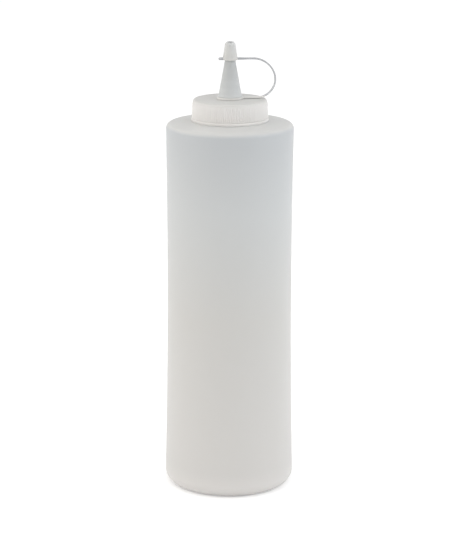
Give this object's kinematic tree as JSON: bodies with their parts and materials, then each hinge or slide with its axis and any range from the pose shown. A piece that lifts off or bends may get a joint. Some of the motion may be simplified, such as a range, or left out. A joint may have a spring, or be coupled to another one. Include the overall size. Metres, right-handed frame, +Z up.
{
  "type": "squeeze bottle",
  "caption": "Empty round squeeze bottle of frosted soft plastic, with a ribbed screw cap, a conical nozzle and a tip cap on a bent leash.",
  "frame": {"origin": "centre of the standing ring, on the surface that the bottle stands on", "axes": "+Z up along the bottle's axis to the nozzle; the leash's strap bends out towards +X and its pull tab points to -X"},
  "size_m": [0.0718, 0.0718, 0.2493],
  "materials": {
    "bottle": "frosted translucent",
    "cap": "satin translucent",
    "leash": "satin translucent"
  },
  "bodies": {
    "root": {"bottle": "bottle", "cap": "cap", "leash": "leash"}
  },
  "joints": []
}
